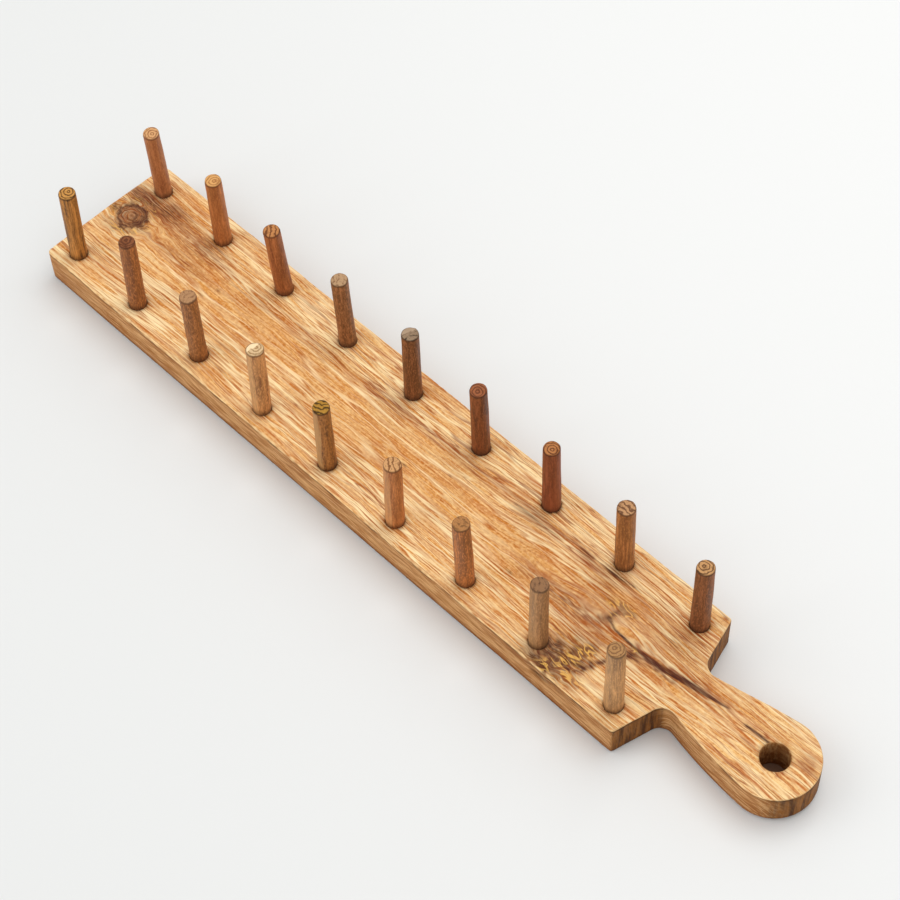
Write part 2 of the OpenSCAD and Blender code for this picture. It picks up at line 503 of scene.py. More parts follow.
def ring(count, radius, height):
    """A ring of points round the Z axis."""
    a = np.linspace(0, 2 * np.pi, count, endpoint=False)
    radius = np.broadcast_to(radius, a.shape)
    return np.stack([radius * np.cos(a), radius * np.sin(a), np.broadcast_to(height, a.shape)], 1)


def on_peg_axis(name, points):
    """Points of a peg's own frame, moved to where that peg stands."""
    base, turn = PEG_AXES[name][:2]
    return points @ np.array(turn).T + np.array(base) / MM


def inside_grid(front, back, holes, step_x, step_y, margin):
    """Grid points between the front and back edges, clear of both and of the round holes."""
    rows = []
    for k, x in enumerate(np.arange(END_X + step_x / 2, END_X + LENGTH, step_x)):
        low, high = np.interp(x, front[:, 0], front[:, 1]), np.interp(x, back[:, 0], back[:, 1])
        ahead = [np.interp([x - 0.5, x + 0.5], edge[:, 0], edge[:, 1]) for edge in (front, back)]
        gap_low, gap_high = (margin * math.hypot(1, b - a) for a, b in ahead)
        y = np.arange(-HALF_W + (k % 2) * step_y / 2, HALF_W, step_y)
        y = y[(y > low + gap_low) & (y < high - gap_high)]
        rows.append(np.stack([np.full(len(y), x), y], 1))
    grid = np.vstack(rows)
    keep = (grid[:, 0] > front[0, 0] + margin) & (grid[:, 0] < front[-1, 0] - margin)
    for hx, hy, radius in holes:
        keep &= np.hypot(grid[:, 0] - hx, grid[:, 1] - hy) > radius + margin
    return grid[keep]


def split_outline(loop):
    """The front and back edges of a loop, each from the plain end to the tip."""
    left, right = np.argmin(loop[:, 0]), np.argmax(loop[:, 0])
    rolled = np.roll(loop, -left, 0)
    tip = (right - left) % len(loop)
    front, back = rolled[: tip + 1], np.vstack([rolled[tip:], rolled[:1]])[::-1]
    return (np.maximum.accumulate(front * [1, 0]) + front * [0, 1]), (
        np.maximum.accumulate(back * [1, 0]) + back * [0, 1]
    )


def triangulate(loops, grid, squeeze):
    """Triangles of a flat face. The first loop is its rim, the others are its holes."""
    flat = np.vstack(loops + [grid])
    edges, start = [], 0
    owner = np.full(len(flat), -1)
    for number, loop in enumerate(loops):
        here = np.arange(start, start + len(loop))
        edges += np.stack([here, np.roll(here, -1)], 1).tolist()
        owner[here] = number
        start += len(loop)
    made = delaunay_2d_cdt([Vector(p) for p in flat * [squeeze, 1]], edges, [], 1, 1e-7)
    source = np.array([ids[0] for ids in made[3]])
    faces = source[np.array(made[2])]
    who = owner[faces]
    in_hole = (who[:, 0] > 0) & (who[:, 0] == who[:, 1]) & (who[:, 0] == who[:, 2])
    return faces[~in_hole]


def edge_softness(x, y):
    """Radius of the worn top edge: wavy, with small chips along the front."""
    wave = 0.85 + 0.40 * noise(x / 16, y / 16, 61) + 0.25 * noise(x / 4.5, y / 9, 60)
    chips = 2.2 * unit(noise(x / 8, y / 30, 62) - 0.15) * ramp(-y, 30, 48)
    return np.clip(wave + chips, 0.4, 2.0)


ZONES = ["top", "edge", "socket", "hole", "underside"]
# Spacing of the top face's points along and across the grain
TOP_STEPS = (2.4, 0.62)
ARRIS_TURNS = np.radians([0, 25, 50, 72, 90])
# Radius of the bottom edge along the body, and how much more it is worn at the handle's tip
FOOT_SOFTNESS = (1.1, 2.2)
WALL_ROWS = 13
PEG_HOLE_POINTS = 36
HANG_HOLE_POINTS = 84


def in_fine_zone(x):
    """Where the marks are small enough to need twice as many points."""
    return (x < -262) | ((x > 126) & (x < 244))


def make_board():
    shell = Shell()
    loop = board_outline()
    normal = outward(loop)
    soft = edge_softness(loop[:, 0], loop[:, 1])
    foot_soft = FOOT_SOFTNESS[0] + FOOT_SOFTNESS[1] * ramp(loop[:, 0], NECK_X, TIP_X + 10)
    notes = []

    def note(count, zone, upright=1.0, facing=(0.0, 0.0)):
        """Remembers each new point's zone, how far it faces up, and which way its wall faces."""
        row = (ZONES.index(zone), upright)
        facing = np.broadcast_to(facing, (count, 2))
        notes.append(np.column_stack([np.broadcast_to(row, (count, 2)), facing]))

    def tube(above, zone, rows):
        """Carries a round hole down from one ring of points through others."""
        for row in rows:
            below = shell.add(row)
            shell.bridge(below, above)
            above = below
            note(len(row), zone, 0.0)
        return above

    def edge_row(inset, z, top_share, wall_share):
        """A row of points round the board's edge, with relief from the faces that meet there."""
        flat = loop - normal * np.reshape(inset, (-1, 1))
        x, y = flat.T
        wall = wall_grain(x, y, np.broadcast_to(z, x.shape)).height * wall_share
        lift = top_grain(x, y).height * top_share if top_share else 0
        moved = flat + normal * wall[:, None]
        return np.column_stack([moved, z + lift])

    rows = []
    for a in ARRIS_TURNS:
        across, down = math.sin(a), math.cos(a)
        rows.append((edge_row(soft * (1 - across), TOP - soft * (1 - down), down, across), down))
    for k in range(1, WALL_ROWS + 1):
        share = k / (WALL_ROWS + 1)
        rows.append((edge_row(0 * soft, (TOP - soft) * (1 - share) + foot_soft * share, 0, 1), 0))
    for a in ARRIS_TURNS[::-1]:
        inset, z = foot_soft * (1 - math.sin(a)), foot_soft * (1 - math.cos(a))
        rows.append((edge_row(inset, z, 0, math.sin(a)), 0))

    # the top face, with a rim round each hole
    holes, rims = [], []
    for name in PEG_NAMES:
        wide = SOCKET_R + SOCKET_RIM * (1 + 0.6 * noise(len(rims) + 0.5, 0.5, 63))
        rims.append(on_peg_axis(name, ring(PEG_HOLE_POINTS, wide, 0))[:, :2])
        holes.append((*rims[-1].mean(0), wide))
    rims.append(ring(HANG_HOLE_POINTS, HANG_R + 0.7, 0)[:, :2] + [TIP_X, TIP_Y])
    holes.append((TIP_X, TIP_Y, HANG_R + 0.7))
    top_loop = rows[0][0][:, :2]
    grid = inside_grid(*split_outline(top_loop), holes, *TOP_STEPS, 0.75)
    grid = grid[~in_fine_zone(grid[:, 0])]
    fine = inside_grid(*split_outline(top_loop), holes, TOP_STEPS[0] / 2, TOP_STEPS[1], 0.75)
    grid = np.vstack([grid, fine[in_fine_zone(fine[:, 0])]])
    flat = np.vstack([top_loop] + rims + [grid])
    height = TOP + top_grain(flat[:, 0], flat[:, 1]).height
    top = shell.add(np.column_stack([flat, height]))
    shell.face(top[triangulate([top_loop] + rims, grid, TOP_STEPS[1] / TOP_STEPS[0])])
    note(len(top_loop), "top", 1.0, normal)
    note(len(top) - len(top_loop), "top")

    # the edge all round
    previous = top[: len(top_loop)]
    for row, upright in rows[1:]:
        current = shell.add(row)
        shell.bridge(previous, current)
        previous = current
        note(len(row), "edge", upright, normal)
    foot_loop, foot = rows[-1][0][:, :2], previous

    # the blind sockets
    profile = [(SOCKET_R + 0.12, -0.25), (SOCKET_R, -0.8)]
    profile += [(SOCKET_R + 0.04 * (k % 2), -0.8 - k * 2.8) for k in range(1, 6)]
    profile += [(SOCKET_R, 0.6 - SOCKET_DEPTH), (SOCKET_R - 0.6, -SOCKET_DEPTH)]
    profile += [(SOCKET_R / 2, -SOCKET_DEPTH - 0.1)]
    start = len(top_loop)
    for name in PEG_NAMES:
        rings = [on_peg_axis(name, ring(PEG_HOLE_POINTS, *place)) for place in profile]
        above = tube(top[start : start + PEG_HOLE_POINTS], "socket", rings)
        start += PEG_HOLE_POINTS
        centre = shell.add(on_peg_axis(name, np.array([[0, 0, -SOCKET_DEPTH - 0.3]])))
        shell.fan(above, centre)
        note(1, "socket", 0.0)

    # the hanging hole, down to its rim on the underside
    spots = [(0.25, -0.3), (0, -0.9)] + [(0, -0.9 - 2.37 * k) for k in range(1, 10)]
    spots += [(-0.05, 0.5 - TOP), (0.1, -TOP)]
    rings = []
    for extra, drop in spots:
        uneven = noise(np.arange(HANG_HOLE_POINTS) / 5, drop / 5, 64) * (drop > 0.5 - TOP)
        wide = HANG_R + extra + 0.10 * uneven
        rings.append(ring(HANG_HOLE_POINTS, wide, TOP + drop) + [TIP_X, TIP_Y, 0])
    above = tube(top[start : start + HANG_HOLE_POINTS], "hole", rings)

    # the underside
    rim = ring(HANG_HOLE_POINTS, HANG_R + 0.1, 0)[:, :2] + [TIP_X, TIP_Y]
    grid = inside_grid(*split_outline(foot_loop), holes[-1:], 6.0, 3.0, 1.2)
    numbers = np.concatenate([foot, above, shell.add(np.column_stack([grid, 0 * grid[:, 0]]))])
    note(len(grid), "underside")
    shell.face(numbers[triangulate([foot_loop, rim], grid, 0.5)][:, ::-1])

    board = shell.build("loom_board")
    mask_board(board, np.vstack(shell.points), np.vstack(notes))
    return board


def mask_board(board, points, notes):
    """Gives every point of the board its grain and colour masks."""
    x, y, z = points.T
    zone, upright = notes[:, 0].astype(int), notes[:, 1]
    on_top, is_edge, is_socket, is_hole = (zone == k for k in range(4))
    top, wall = top_grain(x, y), wall_grain(x, y, z)
    pick = Grain(*(a * upright + b * (1 - upright) for a, b in zip(top, wall)))
    end = ramp(np.abs(notes[:, 2]), 0.30, 0.90)
    hidden = is_socket | is_hole
    # the fibres carry on round the arris and down the long edges
    flow = grain_line(x, y) + np.where(hidden, 0, notes[:, 3] * (TOP - z))

    # the worn top edge: a pale crest, partly wear and partly painted highlight, with a thin line
    # of painted shade under it
    crease = is_edge * ramp(z, TOP - 2.8, TOP - 1.5) * ramp(1 - upright, 0.7, 1.0)
    shade = crease * unit(0.55 + 1.3 * noise(x / 13, y / 13, 66) + 0.45 * end)
    # painted shade along the very bottom of the edges, next to the floor
    shade = np.maximum(shade, 0.9 * is_edge * (1 - ramp(z, 0.4, 1.5)))
    wear_and_highlight = is_edge * ramp(upright, 0.05, 0.35) * unit(0.7 + 1.4 * noise(x / 5, y / 5, 68))
    wear_and_highlight = wear_and_highlight * (1 - 0.6 * end)
    # painted shade low on the edges, browner towards the floor
    bottom_shade = is_edge * (1 - ramp(z, 2.0, 5.5 + 2 * noise(x / 30, y / 30, 69)))
    # painted shade inside the sockets and, lighter, inside the hanging hole
    shade = np.maximum(shade, 0.85 * is_socket + 0.12 * is_hole)
    # a ring of painted shade on the top round the hanging hole
    lip = np.where(np.hypot(x - TIP_X, y - TIP_Y) < HANG_R + 0.9, 0.3, 0) * on_top
    shade = np.maximum(shade, lip)
    # painted shade on the top round the foot of each peg
    foot_shade = np.zeros_like(x)
    reach = SOCKET_R + 5.0 + 3 * noise(x / 5, y / 5, 67)
    for base, *_ in PEG_AXES.values():
        near = np.hypot(x - base[0] / MM, y - base[1] / MM)
        foot_shade = np.maximum(foot_shade, 1 - ramp(near, SOCKET_R, reach))
    # and a rubbed, splintery strip of the top beside the long edges
    strip = on_top * (x < SHOULDER_X) * ramp(np.abs(y), HALF_W - 4.0, HALF_W - 1.0)
    rubbed = strip * unit(0.3 + 1.8 * noise(x / 9, y / 1.3, 70))
    # the pale mask: the top's crests, the arris (wear with painted highlight) and the rubbed
    # strip
    crest = np.maximum(pick.crest * 0.25 * (1 - is_edge), np.maximum(wear_and_highlight, rubbed))
    add_mask(board, "relief", pick.amount, crest, pick.tone)
    # the rust mask also carries the painted shade round the pegs' feet and low on the edges
    rust = pick.rust + 0.42 * foot_shade * on_top + bottom_shade
    add_mask(board, "marks", np.where(hidden, 0.1, pick.stain), rust, pick.gold)
    add_mask(board, "place", 1 - upright, np.where(hidden, 0.35, end), shade)
    layer = board.data.attributes.new("flow", "FLOAT", "POINT")
    layer.data.foreach_set("value", flow * MM)


# ---- the pegs

# side, streak: colours along the peg; cap, cap_line: colours of its end grain, in hex
# pattern: how the end grain runs; streaks, speckles: how strong they are
# pale: how much sapwood shows; foot_r, top_r: radius at the board and at the top, and
# chip: how deep the chip in the top is, all three in mm
Look = namedtuple(
    "Look", "side streak cap cap_line pattern streaks speckles pale foot_r top_r chip"
)
LOOK_ROWS = [
    # the front row, from the plain end
    ("b87a38 402610 cc924a 3e240e", "rings", 1.0, 0.1, 0, 5.75, 5.65, 0),
    ("a86632 744428 86502f 542c1a", "rings", 0.3, 0.5, 0, 6.0, 5.45, 0),
    ("a26634 70462a b0845c 7e5638", "speckled", 0.4, 0.6, 0, 5.85, 5.55, 0),
    ("c88c54 7e4e2e d8b88c a0784a", "rings", 0.7, 0.3, 0.45, 6.0, 5.7, 1.2),
    ("9a622c 603a1c b08030 281806", "stripes", 0.8, 0.6, 0.7, 6.1, 5.4, 0),
    ("c27840 804620 d09c68 784a26", "stripes", 0.3, 0.15, 0.5, 6.15, 5.65, 0),
    ("b26c38 7a4e2e b07a48 7a5430", "speckled", 0.4, 0.6, 0, 6.05, 5.5, 0),
    ("a47448 7c5a3a 926a48 604230", "speckled", 0.5, 0.4, 0.25, 6.0, 5.5, 0),
    ("c4905c 8e6846 b28454 7c5636", "rings", 0.7, 0.15, 0.2, 6.1, 5.5, 0),
    # the back row, from the plain end
    ("ac6e42 8c5030 d7a470 965e38", "rings", 0.3, 0.2, 0, 5.8, 5.4, 0),
    ("ac6a38 864826 dca665 a46838", "rings", 0.3, 0.2, 0, 6.0, 5.45, 0),
    ("a86436 783e22 be804b 603218", "stripes", 0.7, 0.2, 0, 5.9, 5.5, 0),
    ("946038 684224 b6926d 805c3e", "speckled", 0.4, 0.6, 0, 5.8, 5.55, 0),
    ("88542e 5a361e 967c62 423226", "speckled", 0.4, 0.5, 0, 5.85, 5.6, 0.7),
    ("864c28 522c1a 9c5c38 5c301c", "rings", 0.7, 0.3, 0, 5.9, 5.5, 0),
    ("8a4a2a 683420 b87844 542612", "rings", 0.25, 0.15, 0, 6.1, 5.4, 0),
    ("ac703c 7c4c2c c09064 603a22", "stripes", 0.5, 0.3, 0, 5.95, 5.7, 0),
    ("8a5430 603c26 c89662 56361e", "rings", 0.6, 0.5, 0, 6.15, 5.6, 0),
]
LOOKS = {
    name: Look(*map(bytes.fromhex, colours.split()), *rest)
    for name, (colours, *rest) in zip(PEG_NAMES, LOOK_ROWS)
}
PEG_SIDES = 60
PEG_ROWS = 64
FOOT_R = 5.95
# Which way the chipped caps and the sapwood of some pegs face
CHIP_SIDE = Vector((-0.995, 0.098, 0))
SAP_SIDE = Vector((-0.463, -0.890, 0))


def make_peg(name, number):
    """One peg in its own frame: Z along it, and Z = 0 at the board's top."""
    look = LOOKS[name]
    base, turn, foot, top = PEG_AXES[name]
    shell = Shell()
    angle = np.linspace(0, 2 * np.pi, PEG_SIDES, endpoint=False)
    wrap = np.minimum(angle, 2 * np.pi - angle)
    chip, sap = (turn.transposed() @ side for side in (CHIP_SIDE, SAP_SIDE))

    def side_row(z):
        """A row of the hand-turned side: tapered, a little out of round, lightly grooved."""
        above = ramp(z, 0.2, 4.0)
        taper = look.foot_r + (look.top_r - look.foot_r) * max(z, 0) / top
        radius = FOOT_R * (1 - above) + taper * above
        bent = 0.10 * noise(np.cos(angle) + number * 7, z / 16 + np.sin(angle), 71)
        flats = 0.07 * np.cos(angle * 2 + number) + 0.05 * np.cos(angle * 5 + z / 9)
        fibres = noise(wrap * 7.5 + number * 11, z / 17, 72)
        grooves = -0.10 * unit(1 - 3 * np.abs(fibres))
        return ring(PEG_SIDES, radius + above * (bent + flats) + (0.3 + 0.7 * above) * grooves, z)

    def cap_point(share):
        """A ring of the end grain: slightly domed, ridged, and chipped on some pegs."""
        radius = look.top_r * share
        x, y = radius * np.cos(angle), radius * np.sin(angle)
        saw = 0.07 * noise(x / 1.3 + number * 5, y / 4.5, 73)
        saw = saw + 0.05 * noise(x / 0.8, y / 0.8 + number, 74)
        split = ramp(x * chip.x + y * chip.y, 1.6, 2.6)
        drop = 0.12 * share**2 + look.chip * split * (0.75 + 0.4 * noise(x / 2, y / 2, 75))
        return np.stack([x, y, top - drop + saw * (1 - 0.5 * share)], 1)

    foot_rings = ((FOOT_R * 0.5, foot), (FOOT_R - 0.8, foot), (FOOT_R - 0.25, foot + 0.3))
    rows = [ring(PEG_SIDES, *place) for place in foot_rings]
    rows += [side_row(z) for z in np.linspace(foot + 0.9, top - 1.1, PEG_ROWS)]
    for share, drop in ((0.995, 0.65), (0.975, 0.3)):
        row = side_row(top - drop)
        lowered = cap_point(share)[:, 2] - drop
        rows.append(np.column_stack([row[:, :2] * share, np.minimum(lowered, top - drop)]))
    side_count = len(rows)
    rows += [cap_point(share) for share in (0.93, 0.86, 0.76, 0.66, 0.55, 0.44, 0.33, 0.22, 0.11)]
    previous = shell.add(rows[0])
    bottom = shell.add([[0, 0, foot]])
    shell.fan(previous[::-1], bottom, 1)
    for k, row in enumerate(rows[1:], 1):
        current = shell.add(row)
        shell.bridge(current, previous, 1 if k >= side_count or k < 2 else 0)
        previous = current
    centre = shell.add([[0, 0, cap_point(0.0)[0, 2]]])
    shell.fan(previous, centre, 1)
    matrix = Matrix.Translation(base) @ turn.to_4x4()
    peg = shell.build("loom_" + name, matrix)
    peg.data.materials.append(peg_side_material(name, look, number, sap))
    peg.data.materials.append(peg_cap_material(name, look, number, chip))
    return peg


# ---- materials

# The value that a noise node varies about
MIDDLE = 0.5
# Colour of the pale outer wood of a tree, which shows on some pegs
SAPWOOD = (228, 186, 132)
# Heights on a peg, in metres over the board: where the painted shade at its foot ends, where
# that starts again inside the socket, and where the painted shade at its top edge is
FOOT_SHADE_TOP = 0.0065
FOOT_SHADE_SOCKET = (-0.0035, -0.0008)
TOP_EDGE_SHADE = (0.0590, 0.0600)


def rgb(red, green, blue):
    """A colour as it is seen, 0 to 255, turned into the shader's linear values."""
    def linear(c):
        c = c / 255
        return c / 12.92 if c <= 0.04045 else ((c + 0.055) / 1.055) ** 2.4

    return (linear(red), linear(green), linear(blue), 1.0)


def darker(tone, share):
    return [c * share for c in tone]


class Shader:
    """Short names for the nodes that the wood materials are made of."""

    def __init__(self, name):
        self.material = bpy.data.materials.new(name)
        self.material.use_nodes = True
        self.tree = self.material.node_tree
        self.surface = self.tree.nodes["Principled BSDF"]
        self.place = self.node("TexCoord").outputs["Object"]

    def node(self, kind, *values):
        """A new node, with values or links for its first inputs."""
        node = self.tree.nodes.new("ShaderNode" + kind)
        for socket, value in zip(node.inputs, values):
            self.put(socket, value)
        return node

    def put(self, socket, value):
        if isinstance(value, bpy.types.NodeSocket):
            self.tree.links.new(value, socket)
        else:
            socket.default_value = value

    def axes(self):
        """X, Y and Z in the object's own frame."""
        return self.node("SeparateXYZ", self.place).outputs

    def attribute(self, name):
        node = self.node("Attribute")
        node.attribute_name = name
        return node.outputs

    def masks(self, name):
        """The three masks of a colour attribute."""
        return self.node("SeparateColor", self.attribute(name)["Color"]).outputs

    def grain_space(self, name):
        """Coordinates that follow the fibres: X, then the mesh's own flow value, then Z."""
        x, _, z = self.axes()
        return self.node("CombineXYZ", x, self.attribute(name)["Fac"], z).outputs[0]

    def nudged(self, source, amount):
        """Coordinates moved a little across the fibres."""
        across = self.node("CombineXYZ", 0.0, amount).outputs[0]
        return self.node("VectorMath", source, across).outputs[0]

    def noise(self, stretch, detail=3.0, rough=0.55, twist=0.0, shift=(0, 0, 0), source=None):
        """Soft noise about MIDDLE, from 0 to 1. Stretch is in cycles per metre."""
        place = self.node("Mapping", source or self.place, shift, (0, 0, 0), stretch)
        node = self.node("TexNoise", place.outputs[0], 0.0, 1.0, detail, rough)
        node.inputs["Distortion"].default_value = twist
        return node.outputs["Fac"]

    def math(self, kind, a, b=0.0):
        node = self.node("Math", a, b)
        node.operation = kind
        return node.outputs[0]

    def times(self, first, *others):
        for other in others:
            first = self.math("MULTIPLY", first, other)
        return first

    def plus(self, a, b):
        return self.math("ADD", a, b)

    def minus(self, a, b):
        return self.math("SUBTRACT", a, b)

    def larger(self, a, b):
        return self.math("MAXIMUM", a, b)

    def off(self, value, middle=MIDDLE):
        """How far a value is from middle, either way."""
        return self.math("ABSOLUTE", self.minus(value, middle))

    def length(self, x, y):
        return self.math("SQRT", self.plus(self.times(x, x), self.times(y, y)))

    def along(self, x, y, direction):
        """How far a point lies in a direction."""
        return self.plus(self.times(x, direction[0]), self.times(y, direction[1]))

    def spread(self, value, low, high, bottom=0.0, top=1.0):
        """A smooth step: bottom at low, top at high."""
        node = self.node("MapRange", value, low, high, bottom, top)
        node.interpolation_type = "SMOOTHSTEP"
        return node.outputs["Result"]

    def ridge(self, stretch, width, shift, source):
        """Thin lines, and the painted shade of the hollow that runs along one side of each."""
        n = self.noise(stretch, 0.7, 0.5, 0.0, shift, source)
        beside = self.off(n, MIDDLE + 1.1 * width)
        return (
            self.spread(self.off(n), 0.2 * width, width, 1.0, 0.0),
            self.spread(beside, 0.15 * width, 0.8 * width, 1.0, 0.0),
        )

    def mix(self, share, a, b):
        node = self.node("Mix", share)
        node.data_type = "RGBA"
        self.put(node.inputs[6], a)
        self.put(node.inputs[7], b)
        return node.outputs[2]

    def tint(self, colour, tone, *shares):
        """Lays one more colour on, as strongly as all the shares say together."""
        return self.mix(self.times(*shares), colour, rgb(*tone))

    def tints(self, colour, *layers):
        """Lays colours on in turn: where a value runs from low to high, up to a strength."""
        for value, low, high, strength, tone in layers:
            colour = self.tint(colour, tone, self.spread(value, low, high, 0.0, strength))
        return colour

    def bump(self, height, strength, depth, below=None):
        """Fine relief. Depth is in metres."""
        node = self.node("Bump", strength, depth)
        self.put(node.inputs["Height"], height)
        if below is not None:
            self.put(node.inputs["Normal"], below)
        return node.outputs["Normal"]

    def finish(self, colour, roughness, normal, specular):
        for key, value in (("Base Color", colour), ("Roughness", roughness), ("Normal", normal)):
            self.put(self.surface.inputs[key], value)
        self.surface.inputs["Specular IOR Level"].default_value = specular
        return self.material


def board_material():
    """Oiled, brushed wood. The masks say where; the noises give the fibres, cracks and pores."""
    s = Shader("board_wood")
    amount, crest, tone = s.masks("relief")
    stain, rust, gold = s.masks("marks")
    wall, end, shade = s.masks("place")
    flow = s.grain_space("flow")
    bend = s.times(s.minus(s.noise((18, 110, 60), 2, 0.5, source=flow), MIDDLE), 0.0026)
    ripple = s.times(s.minus(s.noise((85, 210, 90), 1, 0.5, source=flow), MIDDLE), 0.0009)
    along = s.nudged(flow, s.plus(bend, ripple))
    band = s.noise((4, 80, 20), 2, 0.5, 0.0, (9, 4, 2), along)
    fibre = s.noise((9, 300, 60), 4, 0.6, 0.0, source=along)
    thread = s.noise((60, 1000, 240), 3, 0.6, 0.0, (3, 1, 7), source=along)
    speck = s.noise((420, 900, 600), 2, 0.65, 0.0, (1, 8, 5), source=along)
    curl = s.noise((85, 230, 200), 1, 0.6, 0.9, (6, 3, 2))
    growth, growth_shade = s.ridge((7, 150, 20), 0.026, (4, 2, 9), along)
    ridge, hollow = s.ridge((11, 250, 30), 0.040, (2, 0, 1), along)
    for share, stretch, width, shift in (
        (0.8, (17, 400, 40), 0.065, (5, 9, 4)),
        (0.65, (27, 640, 60), 0.10, (1, 5, 8)),
    ):
        line, side = s.ridge(stretch, width, shift, along)
        ridge = s.larger(ridge, s.times(line, share))
        hollow = s.larger(hollow, s.times(side, share))

    # broad tones, then fine threads and specks, pale and dark
    warm = s.plus(s.times(tone, 0.50), s.times(band, 0.50))
    warm = s.plus(warm, s.times(s.minus(fibre, MIDDLE), 0.30))
    colour = s.tints(
        rgb(207, 130, 53),
        (warm, 0.22, 0.50, 1.0, (224, 157, 80)),
        (warm, 0.50, 0.78, 1.0, (234, 181, 111)),
        (warm, 0.82, 1.08, 1.0, (250, 220, 172)),
        (thread, 0.53, 0.62, 0.55, (250, 204, 138)),
        (thread, 0.49, 0.39, 0.55, (192, 100, 30)),
        (speck, 0.48, 0.36, 0.50, (180, 98, 30)),
        (speck, 0.53, 0.64, 0.40, (252, 214, 150)),
    )
    # pale growth lines everywhere, each with painted shade along one side
    patch = s.spread(fibre, 0.40, 0.58, 0.35, 1.0)
    colour = s.tint(colour, (176, 88, 26), growth_shade, 0.55)
    colour = s.tint(colour, (254, 220, 168), growth, patch)
    # brushed relief: cream crests, each with painted shade in the hollow beside it, and dark
    # cracks
    depth = s.spread(amount, 0.05, 0.70, 0.38, 1.0)
    colour = s.tint(colour, (174, 82, 16), s.times(hollow, depth), 0.68)
    light = s.times(s.larger(ridge, s.times(crest, 0.60)), depth)
    colour = s.tint(colour, (255, 230, 178), light, patch)
    crack = s.noise((15, 230, 40), 1.0, 0.5, 0.0, (5, 7, 3), along)
    crack = s.spread(s.off(crack), 0.0, 0.032, 1.0, 0.0)
    crack = s.times(crack, depth, s.spread(band, 0.48, 0.58))
    colour = s.tint(colour, (146, 64, 14), crack, 0.70)
    # rust and stain, broken up along the fibres, then gold strokes with brown between them; the
    # rust mask also holds painted shade round the pegs' feet and low on the edges
    colour = s.tint(colour, (146, 68, 24), rust, s.spread(thread, 0.36, 0.62, 0.85, 0.42))
    colour = s.tint(colour, (76, 36, 27), stain, s.spread(thread, 0.34, 0.58, 1.0, 0.75))
    strokes = s.spread(s.off(curl), 0.02, 0.075, 1.0, 0.0)
    colour = s.tint(colour, (92, 46, 18), gold, s.spread(strokes, 0.0, 0.6, 0.60, 0.0))
    strokes = s.times(strokes, s.spread(thread, 0.38, 0.54, 0.45, 1.0))
    colour = s.tint(colour, (230, 178, 90), gold, strokes)

    # edges: smoother along the grain, browner and darker across it, where the end grain's own
    # dark colour is deepened by painted shade
    side = s.tints(
        rgb(164, 104, 50),
        (warm, 0.20, 0.80, 1.0, (203, 149, 93)),
        (thread, 0.51, 0.59, 0.65, (230, 184, 128)),
        (thread, 0.48, 0.40, 0.65, (146, 86, 40)),
    )
    # the rust mask here also holds painted shade low on the edges
    side = s.tint(side, (136, 74, 28), rust, 0.75)
    side = s.tint(side, (70, 40, 22), stain, 0.9)
    side = s.tint(side, (226, 196, 144), gold, 0.9)
    across = s.noise((260, 420, 30), 3, 0.6, 0.3, (2, 2, 2))
    end_grain_and_shade = s.tints(rgb(66, 34, 6), (across, 0.34, 0.64, 1.0, (140, 88, 34)))
    side = s.mix(s.times(end, 0.92), side, end_grain_and_shade)
    colour = s.mix(wall, colour, side)
    # the rubbed arris is pale, partly wear and partly painted highlight; painted shade darkens
    # the crease under it, the bottom of the edges, the sockets and the hanging hole
    wear_and_highlight = s.spread(thread, 0.40, 0.55, 0.6, 1.0)
    colour = s.tint(colour, (250, 212, 154), crest, wear_and_highlight, s.spread(wall, 0.0, 0.1), 0.9)
    colour = s.tint(colour, (54, 28, 12), shade, 0.85)

    rough = s.plus(s.spread(fibre, 0.3, 0.7, 0.42, 0.60), s.times(s.larger(wall, stain), 0.12))
    height = s.times(s.minus(ridge, hollow), s.times(depth, 0.8))
    height = s.plus(height, s.times(fibre, 0.8))
    height = s.minus(height, s.times(crack, 0.2))
    normal = s.bump(thread, 0.4, 0.0001, s.bump(height, 0.5, 0.0002))
    return s.finish(colour, rough, normal, 0.12)


